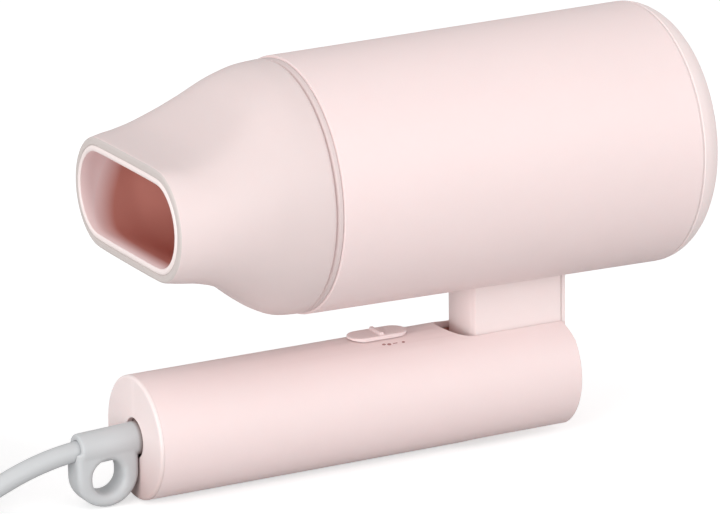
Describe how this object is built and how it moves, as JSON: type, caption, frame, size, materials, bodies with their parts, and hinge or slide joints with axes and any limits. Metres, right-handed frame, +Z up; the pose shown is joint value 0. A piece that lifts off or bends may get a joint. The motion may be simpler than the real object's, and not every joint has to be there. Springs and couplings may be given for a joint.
{
  "type": "travel hair dryer",
  "caption": "Small folding hair dryer: round barrel with a flat concentrator nozzle over a folded round handle with a slide switch, hanging loop and cord.",
  "frame": {"origin": "under the middle of the dryer at the level of the folded handle's underside, halfway between the hanging loop's end and the rear cover's back, cord left out", "axes": "+X along the barrel from the nozzle to the rear cover, +Z up through the barrel from the folded handle, +Y to the dryer's left seen from behind the nozzle"},
  "size_m": [0.2796, 0.1296, 0.1169],
  "materials": {
    "pink_plastic": "soft matte, pale pink",
    "nozzle_plastic": "soft matte, slightly greyer pink",
    "rose_plastic": "heat-resistant, dusty rose",
    "grey_rubber": "soft grey, satin",
    "cord_grey": "smooth grey PVC",
    "plated_brass": "nickel plated",
    "spring_steel": "bright",
    "motor_steel": "zinc plated can",
    "mica": "pale mica sheet",
    "heating_wire": "oxidised resistance wire",
    "black_plastic": "moulded",
    "board_green": "circuit board",
    "control_metal": "plain",
    "wire_insulation": "silicone lead"
  },
  "bodies": {
    "barrel": {"barrel_shell": "pink_plastic", "outlet_collar": "nozzle_plastic", "front_grille": "rose_plastic", "heat_shield": "mica", "heater_boards": "mica", "heater_coil": "heating_wire", "thermostat": "control_metal", "thermal_fuse": "control_metal", "motor_mount": "black_plastic", "motor_can": "motor_steel", "motor_board": "board_green", "rear_cover": "pink_plastic", "intake_mesh": "black_plastic", "cover_screws": "spring_steel", "neck_block": "pink_plastic", "neck_cover": "pink_plastic", "neck_saddle": "motor_steel", "neck_screws": "spring_steel", "neck_wires": "wire_insulation", "detent_ball": "spring_steel", "detent_spring": "spring_steel"},
    "fan": {"fan_impeller": "black_plastic", "motor_shaft": "spring_steel"},
    "snap_ring": {"nozzle_snap_ring": "spring_steel"},
    "nozzle": {"nozzle": "nozzle_plastic"},
    "handle": {"handle_shell": "pink_plastic", "fork_insert": "rose_plastic", "hinge_pin": "spring_steel", "hinge_washers": "spring_steel", "handle_end_cap": "pink_plastic", "strain_relief": "grey_rubber", "cord_clamp": "black_plastic", "clamp_screws": "spring_steel", "switch_body": "black_plastic", "handle_wires": "wire_insulation", "cord": "cord_grey", "cord_coil": "cord_grey", "plug_body": "cord_grey", "plug_pins": "plated_brass"},
    "switch": {"switch_knob": "pink_plastic"}
  },
  "joints": [
    {"name": "handle_fold", "type": "hinge", "parent": "barrel", "child": "handle", "pos_m": [0.03472, 0, 0.02343], "axis": [0, -1, 0], "range_deg": [0, 90]},
    {"name": "switch_slide", "type": "slide", "parent": "handle", "child": "switch", "axis": [1, 0, 0], "range_m": [0, 0.0064]},
    {"name": "nozzle_pull", "type": "slide", "parent": "barrel", "child": "snap_ring", "axis": [-1, 0, 0], "range_m": [0, 0.012]},
    {"name": "nozzle_spin", "type": "hinge", "parent": "snap_ring", "child": "nozzle", "pos_m": [-0.02315, 0, 0.08045], "axis": [1, 0, 0], "continuous": true},
    {"name": "fan_spin", "type": "hinge", "parent": "barrel", "child": "fan", "pos_m": [0.06625, 0, 0.08045], "axis": [1, 0, 0], "continuous": true}
  ]
}
